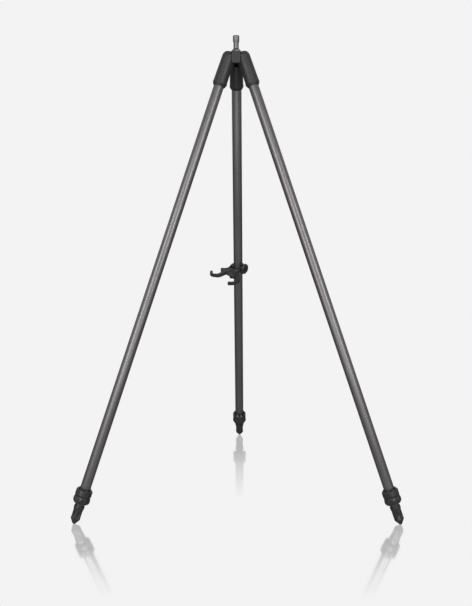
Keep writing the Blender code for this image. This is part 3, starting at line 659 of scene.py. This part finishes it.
def fluteTurns(phase):
    # The turns round the foot: flat-bottomed grooves between narrow ridges, with eased walls.
    ridge, wall, steps, pitch = foot["ridge"], foot["wall"], foot["steps"], 2 * pi / foot["flutes"]
    floor = pitch - 2 * ridge - 2 * wall
    found = []
    for i in range(foot["flutes"]):
        start = phase + pitch * i
        found += [(start + ridge * k, 0.0) for k in (-1.0, -0.4, 0.4, 1.0)]
        found += [(start + ridge + wall * k / steps, easeStep(k / steps)) for k in range(1, steps + 1)]
        found += [(start + ridge + wall + floor * k / steps, 1.0) for k in range(1, steps)]
        end = start + pitch - ridge
        found += [(end - wall * k / steps, easeStep(k / steps)) for k in range(steps, 0, -1)]
    return found


def makeFoot(leg, heading):
    tip, cone, radius, depth, flange = (foot[key] for key in ("tip", "cone", "radius", "depth", "flange"))
    ball, steps = tip / cos(lean), foot["tipSteps"]
    polar = [(pi / 2 - cone) * k / steps for k in range(steps + 1)]
    start = [(tip * sin(a), ball - tip * cos(a)) for a in polar]
    across, along = start[-1]
    shoulder = radius - foot["shoulder"]
    coneTop = along + (shoulder - across) / tan(cone)
    barrel = coneTop + foot["barrel"]
    easeIn, easeUp = foot["ease"]
    plug, top = inner["bore"] - foot["plugGap"], foot["top"]
    rest = [(shoulder, coneTop), (radius - easeIn, coneTop + easeUp), (radius, barrel)]
    rest += [(radius, barrel + foot["fluteIn"], depth), (radius, foot["fluteEnd"], depth)]
    rest += [(radius, foot["fluteOut"]), (radius, foot["seat"]), (flange, foot["flangeLow"])]
    rest += [(flange, foot["flangeHigh"]), (flange - foot["bevel"], top), (plug, top)]
    rest += [(plug, foot["plugTop"]), (0, foot["plugTop"])]
    profile = start[:-1] + roundCorners([start[-1]] + rest, foot["edge"])
    turns = fluteTurns(radians(270) - heading + footTurn[leg])
    mesh = meshOf(turned(profile, turns), legMatrix(heading), foot["sharp"])
    addPiece("foot_" + leg + "Body", mesh, looks["plastic"], "lower_" + leg, ["foot_" + leg])


# The leg catch round the rear tube, in that leg's frame: a collar that is open at one side, and two
# arms, half of angle to either side of heading. Their plates fall by droop for each metre out. In the
# plans of an arm and its hook y runs out along the arm, and x goes to the side of the hook's beak.
catch = {
    "heading": radians(132.5), "angle": radians(60), "ringLow": 0.5270, "ringHigh": 0.5343, "rim": 0.0158,
    "edge": 0.0009, "wall": 0.5395, "wallBore": 0.0115, "step": 0.5357, "open": radians(62),
    "openReach": 0.040, "low": 0.5187, "droop": 0.115, "far": 0.0686, "arm": 0.0045, "web": 0.0036,
    "webHalf": radians(20), "webReach": 0.0357, "under": 0.012, "over": 0.01, "root": 0.0010,
    "screwHole": 0.006, "melt": {"voxel": 0.00032, "smooth": 6, "ratio": 0.55},
}
armPlan = {"near": 0.006, "end": 0.0145, "openCut": 0.0015, "open": 0.0060, "back": -0.0120,
           "backCorner": (-0.0160, 0.0035), "waist": (-0.0070, 0.0190), "nearBack": -0.0060}
armRib = {"near": 0.006, "end": 0.0133, "above": 0.0020, "nearUp": 0.0030, "thick": 0.0044, "crest": 0.5280,
          "endTop": 0.5290, "rise": (0.0040, 0.0004), "level": 0.0090,
          "hollow": [(0.0245, 0.0002), (0.0225, 0.0008)], "shoulder": 0.0130}
arms = {"outer": {"side": -0.5, "jaw": 50, "beak": 0.0122, "edge": 0.0126, "rib": 0.0080,
                  "crest": catch["wall"] - 0.0012},
        "inner": {"side": 0.5, "jaw": 73, "beak": 0.0084, "edge": 0.0104, "rib": 0.0040,
                  "crest": catch["ringHigh"] - 0.0002}}
hook = {"reach": 0.0541, "thick": 0.0074, "bore": 0.01166, "outer": 0.0172, "jawGap": 3, "backFrom": 150,
        "back": [(-0.0186, 0.0050), (-0.0206, 0.0005), (-0.0204, -0.0050), (-0.0188, -0.0105),
                 (-0.0163, -0.0160)],
        "backEase": 0.0020, "root": [(-0.0130, -0.0230), (0.0060, -0.0230)],
        "beak": [(-0.0004, -0.0165), (0.0, -0.0126), (-0.0012, -0.0118)], "boreFrom": -66}
rootFillet = {"low": 0.5280, "out": 0.0050, "base": 0.0012, "under": 0.0002, "steps": 8, "half": radians(46),
              "reach": 0.030}


def alongArm(heading, plan):
    # Points of an arm's plan, turned to the arm's heading.
    return [(y * cos(heading) + x * sin(heading), y * sin(heading) - x * cos(heading)) for x, y in plan]


def sector(heading, half, reach, steps=12):
    turns = [heading + half * (2 * i / steps - 1) for i in range(steps + 1)]
    return [(0.0, 0.0)] + [(reach * cos(a), reach * sin(a)) for a in turns]


def drooping(outline, thickness, reachOf):
    # A plate of the catch that falls away from the collar towards the far jaws.
    plate = prism(outline, catch["low"], catch["low"] + thickness)
    for vert in plate.verts:
        vert.co.z += catch["droop"] * (catch["far"] - reachOf(vert.co))
    return plate


def hookOutline(heading, jaw, beak):
    # The rounded back is open: its first and last corners, of four points each, are left out.
    backCorner = 4
    points = arc((0, 0), hook["outer"], jaw + hook["jawGap"], hook["backFrom"], arcSteps)
    points += eased(hook["back"], hook["backEase"])[backCorner:-backCorner] + hook["root"]
    points += [(beak + x, y) for x, y in hook["beak"]]
    points += arc((0, 0), hook["bore"], hook["boreFrom"], jaw - 360, 2 * arcSteps)
    return alongArm(heading, [(x, hook["reach"] + y) for x, y in points])


def makeRootFillet():
    # The hollow curve between the arms and the collar's ring.
    rim, low, high = catch["rim"], rootFillet["low"], catch["ringHigh"] - rootFillet["under"]
    out, base = rootFillet["out"], rootFillet["base"]
    cone = [(0.0, low), (rim + out, low), (rim + out, low + base)]
    for k in range(1, rootFillet["steps"] + 1):
        a = pi / 2 * k / rootFillet["steps"]
        cone.append((rim + out * (1 - sin(a)), low + base + (high - low - base) * (1 - cos(a))))
    keep = prism(sector(catch["heading"], rootFillet["half"], rootFillet["reach"]), low - past, catch["wall"])
    return asBmesh(carved(turned(cone + [(0.0, high)]), [("INTERSECT", keep)]))


def armSteps(arm):
    # One arm of the catch: its plate, the hook at its end and the rib on its back.
    heading = catch["heading"] + arm["side"] * catch["angle"]
    ahead = Vector((cos(heading), sin(heading), 0))
    near, far, edge = armPlan["near"], hook["reach"] - armPlan["end"], arm["edge"]
    corner, cornerIn = armPlan["backCorner"]
    plan = [(edge, near), (edge, far - armPlan["openCut"]), (armPlan["open"], far), (armPlan["back"], far)]
    plan += [(corner, far - cornerIn), armPlan["waist"], (armPlan["nearBack"], near)]
    steps = [("UNION", drooping(alongArm(heading, plan), catch["arm"], ahead.dot))]
    jaws = hookOutline(heading, arm["jaw"], arm["beak"])
    steps.append(("UNION", drooping(jaws, hook["thick"], ahead.dot)))
    near, end, crest = armRib["near"], hook["reach"] - armRib["end"], armRib["crest"]
    ledge = catch["low"] + catch["droop"] * (catch["far"] - end) + armRib["above"]
    riseIn, riseUp = armRib["rise"]
    side = [(near, ledge + armRib["nearUp"]), (end, ledge), (end, armRib["endTop"])]
    side += [(end - riseIn, crest + riseUp), (end - armRib["level"], crest)]
    side += [(out, crest + up) for out, up in armRib["hollow"]]
    side += [(armRib["shoulder"], arm["crest"]), (near, arm["crest"])]
    rib = prism(side, arm["rib"], arm["rib"] + armRib["thick"])
    turn = Matrix.Rotation(heading, 4, "Z") @ Matrix.Rotation(pi / 2, 4, "X")
    return steps + [("UNION", moved(rib, turn))]


# The knob on the catch's screw: s is the screw's height, and near and far are from the tube's axis.
knob = {"heading": radians(-127), "s": 0.5338, "shaft": 0.0024, "near": 0.0164, "far": 0.0248, "deep": 0.0060,
        "boss": 0.0060, "bossEnd": 0.0160, "lobes": 9, "perLobe": 12, "radius": 0.0138, "base": 0.0080,
        "heel": (0.0112, 0.0010), "flank": (0.0131, 0.0022, 0.0006), "belly": (0.0036, 0.0010),
        "brow": (0.0004, 0.0050, 0.0010), "crown": (0.0118, 0.0017, 0.0005), "face": (0.0080, 0.0005),
        "edge": 0.0016, "sharp": radians(60)}


def clampMatrix():
    # The knob's screw, in the rear leg's frame: Z runs out from the tube through the knob.
    return Matrix.Translation((0, 0, knob["s"])) @ Euler((0, pi / 2, knob["heading"])).to_matrix().to_4x4()


def makeCatch():
    rim, wall, ringLow, ringHigh = catch["rim"], catch["wall"], catch["ringLow"], catch["ringHigh"]
    opening = sector(radians(180), catch["open"], catch["openReach"])
    web = sector(catch["heading"], catch["webHalf"], catch["webReach"])
    steps = [("DIFFERENCE", prism(opening, ringHigh, wall + past))]
    steps.append(("UNION", drooping(web, catch["web"], lambda at: hypot(at.x, at.y))))
    for arm in arms.values():
        steps += armSteps(arm)
    steps.append(("UNION", makeRootFillet()))
    boss = rod(knob["boss"], catch["wallBore"] - catch["root"], knob["bossEnd"], midRound)
    steps.append(("UNION", moved(boss, clampMatrix())))
    bore, lip, wallBore = liner["outer"] + fit, liner["outer"] + liner["lip"] + fit, catch["wallBore"]
    below, above, step = ringLow - catch["under"], wall + catch["over"], catch["step"]
    inside = [(0, below), (lip, below), (lip, ringLow), (bore, ringLow), (bore, step)]
    inside += [(wallBore, step), (wallBore, above), (0, above)]
    steps.append(("DIFFERENCE", turned(inside)))
    hole = rod(knob["shaft"] + fit, -catch["screwHole"], catch["screwHole"])
    place = clampMatrix() @ Matrix.Translation((0, 0, liner["outer"]))
    steps.append(("DIFFERENCE", moved(hole, place)))
    profile = roundCorners(rectangle(0, rim, ringLow, wall), catch["edge"])
    mesh = placed(carved(turned(profile), steps, **catch["melt"]), legMatrix(legs["rear"]))
    addPiece("catchBody", mesh, looks["plastic"], "catch", ["leg_catch"])


def makeKnob():
    near, far, radius, bore = knob["near"], knob["far"], knob["radius"], knob["shaft"] + fit
    deep = near + knob["deep"]
    heel, heelUp = knob["heel"]
    flank, flankUp, flankDeep = knob["flank"]
    bellyUp, bellyDeep = knob["belly"]
    browIn, browUp, browDeep = knob["brow"]
    crown, crownDown, crownDeep = knob["crown"]
    face, faceDown = knob["face"]
    profile = [(0, deep), (bore, deep), (bore, near), (knob["base"], near), (heel, near + heelUp)]
    profile += [(flank, near + flankUp, flankDeep), (radius, near + bellyUp, bellyDeep)]
    profile += [(radius - browIn, near + browUp, browDeep), (crown, far - crownDown, crownDeep)]
    profile = roundCorners(profile + [(face, far - faceDown), (0, far)], knob["edge"], pieces=4)
    place = legMatrix(legs["rear"]) @ clampMatrix()
    mesh = meshOf(turned(profile, lobeTurns(knob["lobes"], knob["perLobe"])), place, knob["sharp"])
    addPiece("knobBody", mesh, looks["plastic"], "knob", ["catch_knob"])


# The split ring between the tube and the catch, with a lip at its low end.
liner = {"outer": 0.0130, "low": 0.5250, "high": 0.5352, "lip": 0.0014, "lipHigh": 0.0016, "edge": 0.0003,
         "slit": (0.005, 0.02, 0.0008), "slitTurn": radians(20), "sharp": radians(38)}


def makeLiner():
    run, low, high, outer = tube["outer"] + fit, liner["low"], liner["high"], liner["outer"]
    edge, lipTop = outer + liner["lip"], low + liner["lipHigh"]
    profile = [(run, low), (edge, low), (edge, lipTop), (outer, lipTop), (outer, high), (run, high)]
    profile = roundCorners(profile, liner["edge"], closed=True, pieces=2)
    near, far, half = liner["slit"]
    slit = prism(rectangle(near, far, -half, half), low - past, high + past)
    slit = moved(slit, Matrix.Rotation(liner["slitTurn"], 4, "Z"))
    mesh = placed(carved(turned(profile, closed=True), [("DIFFERENCE", slit)]), legMatrix(legs["rear"]))
    mesh.set_sharp_from_angle(angle=liner["sharp"])
    addPiece("linerRing", mesh, looks["plastic"], "catch_slide", ["catch_liner"])


def dressHidden():
    # What stays as the model has it gets its finish here.
    for name, node in frame["nodes"].items():
        if node.hide_render:
            continue
        look = "steel" if name == "catch_screw" else "pale"
        node.data.materials.clear()
        node.data.materials.append(looks[look])


makeHub()
makePeg()
makePegNut()
print("stage: hub and peg")
for legName, legHeading in legs.items():
    makeSleeve(legName, legHeading)
    makeTube(legName, legHeading)
    makeCollar(legName, legHeading)
    makeLockNut(legName, legHeading)
    makeFoot(legName, legHeading)
    print("stage: leg", legName)
makeCatch()
makeKnob()
makeLiner()
dressHidden()
print("stage: catch")

# The studio. The floor has the tone paper all over: where it mirrors, it glows less by seen, the even
# tone of the room above the horizon. A fade is where a foot's reflection starts to fade and where it
# ends. Each ramp of the room runs from straight down to straight up.
studio = {
    "paper": 0.896, "mirror": 1.0, "seen": 0.446, "blur": 0.09, "floorRadius": 60, "floorHeight": -0.0002,
    "backdropRadius": 50, "fade": {"left": (0.13, 0.33), "right": (0.13, 0.33), "rear": (0.14, 0.46)},
    "ahead": [(0.0, 0.30), (0.38, 0.33), (0.46, 0.42), (0.50, 0.446), (1.0, 0.446)],
    "behind": [(0.0, 0.25), (0.30, 0.10), (0.49, 0.09), (0.52, 0.446), (1.0, 0.446)],
    "turnFrom": -0.35, "turnTo": 0.15,
}


def plainMaterial(name):
    material = bpy.data.materials.new(name)
    material.use_nodes = True
    material.node_tree.nodes.clear()
    out = nodeOf(material.node_tree, "ShaderNodeOutputMaterial", 900, 0)
    return material, material.node_tree, out


def glowing(name, tone):
    material, tree, out = plainMaterial(name)
    glow = nodeOf(tree, "ShaderNodeEmission", 600, 0, Color=(tone, tone, tone, 1))
    tree.links.new(glow.outputs[0], out.inputs["Surface"])
    return material


def glossyFloor():
    # An evenly lit floor that mirrors softly close to each foot and not at all further away.
    material, tree, out = plainMaterial("paleFloor")
    link = tree.links.new
    both = nodeOf(tree, "ShaderNodeAddShader", 700, 0)
    glow = nodeOf(tree, "ShaderNodeEmission", 450, 100)
    gloss = nodeOf(tree, "ShaderNodeBsdfGlossy", 450, -100, Roughness=studio["blur"])
    place = nodeOf(tree, "ShaderNodeTexCoord", -900, 0)
    strength = None
    for i, (leg, heading) in enumerate(legs.items()):
        row = 300 - 200 * i
        away = nodeOf(tree, "ShaderNodeVectorMath", -600, row)
        away.operation = "DISTANCE"
        away.inputs[1].default_value = (footCircle * cos(heading), axisY + footCircle * sin(heading), 0)
        link(place.outputs["Object"], away.inputs[0])
        near, far = studio["fade"][leg]
        fall = nodeOf(tree, "ShaderNodeMapRange", -400, row, From_Min=near, From_Max=far,
                      To_Min=studio["mirror"], To_Max=0.0)
        link(away.outputs["Value"], fall.inputs["Value"])
        if strength is None:
            strength = fall.outputs["Result"]
            continue
        larger = nodeOf(tree, "ShaderNodeMath", -180, row)
        larger.operation = "MAXIMUM"
        link(strength, larger.inputs[0])
        link(fall.outputs["Result"], larger.inputs[1])
        strength = larger.outputs["Value"]
    rest = nodeOf(tree, "ShaderNodeMath", 80, 200)
    rest.operation = "MULTIPLY_ADD"
    rest.inputs[1].default_value = -studio["seen"]
    rest.inputs[2].default_value = studio["paper"]
    link(strength, rest.inputs[0])
    link(rest.outputs["Value"], glow.inputs["Strength"])
    link(strength, gloss.inputs["Color"])
    link(glow.outputs[0], both.inputs[0])
    link(gloss.outputs[0], both.inputs[1])
    link(both.outputs[0], out.inputs["Surface"])
    return material


def makeFloor():
    bm = bmesh.new()
    radius, height = studio["floorRadius"], studio["floorHeight"]
    ring = [(radius * cos(turn), radius * sin(turn), height) for turn, share in evenTurns(midRound)]
    bm.faces.new([bm.verts.new(corner) for corner in ring])
    floor = tempObject(bm, "floor")
    floor.data.materials.append(glossyFloor())
    floor.visible_diffuse = False
    floor.visible_glossy = False


def makeBackdrop():
    bm = bmesh.new()
    bmesh.ops.create_uvsphere(bm, u_segments=48, v_segments=24, radius=studio["backdropRadius"])
    bmesh.ops.reverse_faces(bm, faces=bm.faces)
    mesh = bpy.data.meshes.new("backdrop")
    bm.to_mesh(mesh)
    bm.free()
    backdrop = bpy.data.objects.new("backdrop", mesh)
    bpy.context.scene.collection.objects.link(backdrop)
    backdrop.data.materials.append(glowing("paleBackdrop", studio["paper"]))
    backdrop.visible_diffuse = False
    backdrop.visible_glossy = False
    backdrop.visible_transmission = False
    backdrop.visible_shadow = False


def makeRoom():
    # What the pieces and the floor mirror: one even tone above the horizon and a darker ground.
    world = bpy.data.worlds.new("softStudio")
    bpy.context.scene.world = world
    world.use_nodes = True
    tree = world.node_tree
    tree.nodes.clear()
    link = tree.links.new
    out = nodeOf(tree, "ShaderNodeOutputWorld", 600, 0)
    room = nodeOf(tree, "ShaderNodeBackground", 300, 0)
    place = nodeOf(tree, "ShaderNodeTexCoord", -900, 0)
    split = nodeOf(tree, "ShaderNodeSeparateXYZ", -700, 0)
    half = nodeOf(tree, "ShaderNodeMath", -500, 0)
    half.operation = "MULTIPLY_ADD"
    half.inputs[1].default_value = 0.5
    half.inputs[2].default_value = 0.5
    link(place.outputs["Generated"], split.inputs["Vector"])
    link(split.outputs["Z"], half.inputs[0])
    side = nodeOf(tree, "ShaderNodeMapRange", -500, 260, From_Min=studio["turnFrom"],
                  From_Max=studio["turnTo"])
    side.interpolation_type = "SMOOTHSTEP"
    link(split.outputs["Y"], side.inputs["Value"])
    blend = nodeOf(tree, "ShaderNodeMix", 100, 100)
    blend.data_type = "RGBA"
    link(side.outputs["Result"], blend.inputs["Factor"])
    for i, (part, socket) in enumerate((("ahead", "A"), ("behind", "B"))):
        ramp = nodeOf(tree, "ShaderNodeValToRGB", -260, -260 * i)
        link(half.outputs["Value"], ramp.inputs["Fac"])
        stops = ramp.color_ramp.elements
        for k, (at, tone) in enumerate(studio[part]):
            stop = stops[k] if k < 2 else stops.new(at)
            stop.position = at
            stop.color = (tone, tone, tone, 1)
        link(ramp.outputs["Color"], blend.inputs[socket])
    link(blend.outputs["Result"], room.inputs["Color"])
    link(room.outputs[0], out.inputs["Surface"])


lamps = {
    "left": {"at": (-1.20, -1.85, 1.28), "target": (0, 0, 0.6), "size": (0.7, 1.60), "power": 12.5},
    "right": {"at": (1.20, -1.85, 1.28), "target": (0, 0, 0.6), "size": (0.7, 1.60), "power": 12.5},
    "key": {"at": (0.0, -2.4, 2.3), "target": (0, 0, 0.8), "size": (3.0, 1.2), "power": 8},
    "panel": {"at": (0.0, -2.5, 1.10), "target": (0, 0, 1.10), "size": (6.5, 1.9), "power": 14},
    "low": {"at": (-0.25, -1.30, 0.30), "target": (-0.15, -0.3, 0.15), "size": (2.0, 0.5), "power": 3.2},
}


def makeLamps():
    # The lamps shine on the tripod alone, so that the floor mirrors none of them from any side.
    lit = bpy.data.collections.new("lit")
    for item in bpy.context.scene.objects:
        if item.type == "MESH" and item.name not in ("floor", "backdrop"):
            lit.objects.link(item)
    for name, values in lamps.items():
        lamp = bpy.data.lights.new(name, "AREA")
        lamp.shape = "RECTANGLE"
        lamp.size, lamp.size_y = values["size"]
        lamp.energy = values["power"]
        item = bpy.data.objects.new(name, lamp)
        bpy.context.scene.collection.objects.link(item)
        item.location = values["at"]
        aim = Vector(values["target"]) - Vector(values["at"])
        item.rotation_euler = aim.to_track_quat("-Z", "Y").to_euler()
        item.visible_camera = False
        item.light_linking.receiver_collection = lit


view = {"at": (0.0236, -1.8931, 0.7224), "ahead": (-0.01443, 0.98761, -0.15628),
        "right": (0.99989, 0.01395, -0.00417), "lens": 47.908, "sensor": 36}


def makeCamera():
    ahead, right = Vector(view["ahead"]).normalized(), Vector(view["right"]).normalized()
    up = right.cross(ahead)
    lens = bpy.data.cameras.new("camera")
    lens.sensor_width = view["sensor"]
    lens.lens = view["lens"]
    camera = bpy.data.objects.new("camera", lens)
    bpy.context.scene.collection.objects.link(camera)
    turn = Matrix((right, up, -ahead)).transposed()
    camera.matrix_world = Matrix.Translation(view["at"]) @ turn.to_4x4()
    bpy.context.scene.camera = camera
    bpy.context.scene.view_settings.view_transform = "Standard"


makeFloor()
makeBackdrop()
makeRoom()
makeLamps()
makeCamera()
print("stage: studio")
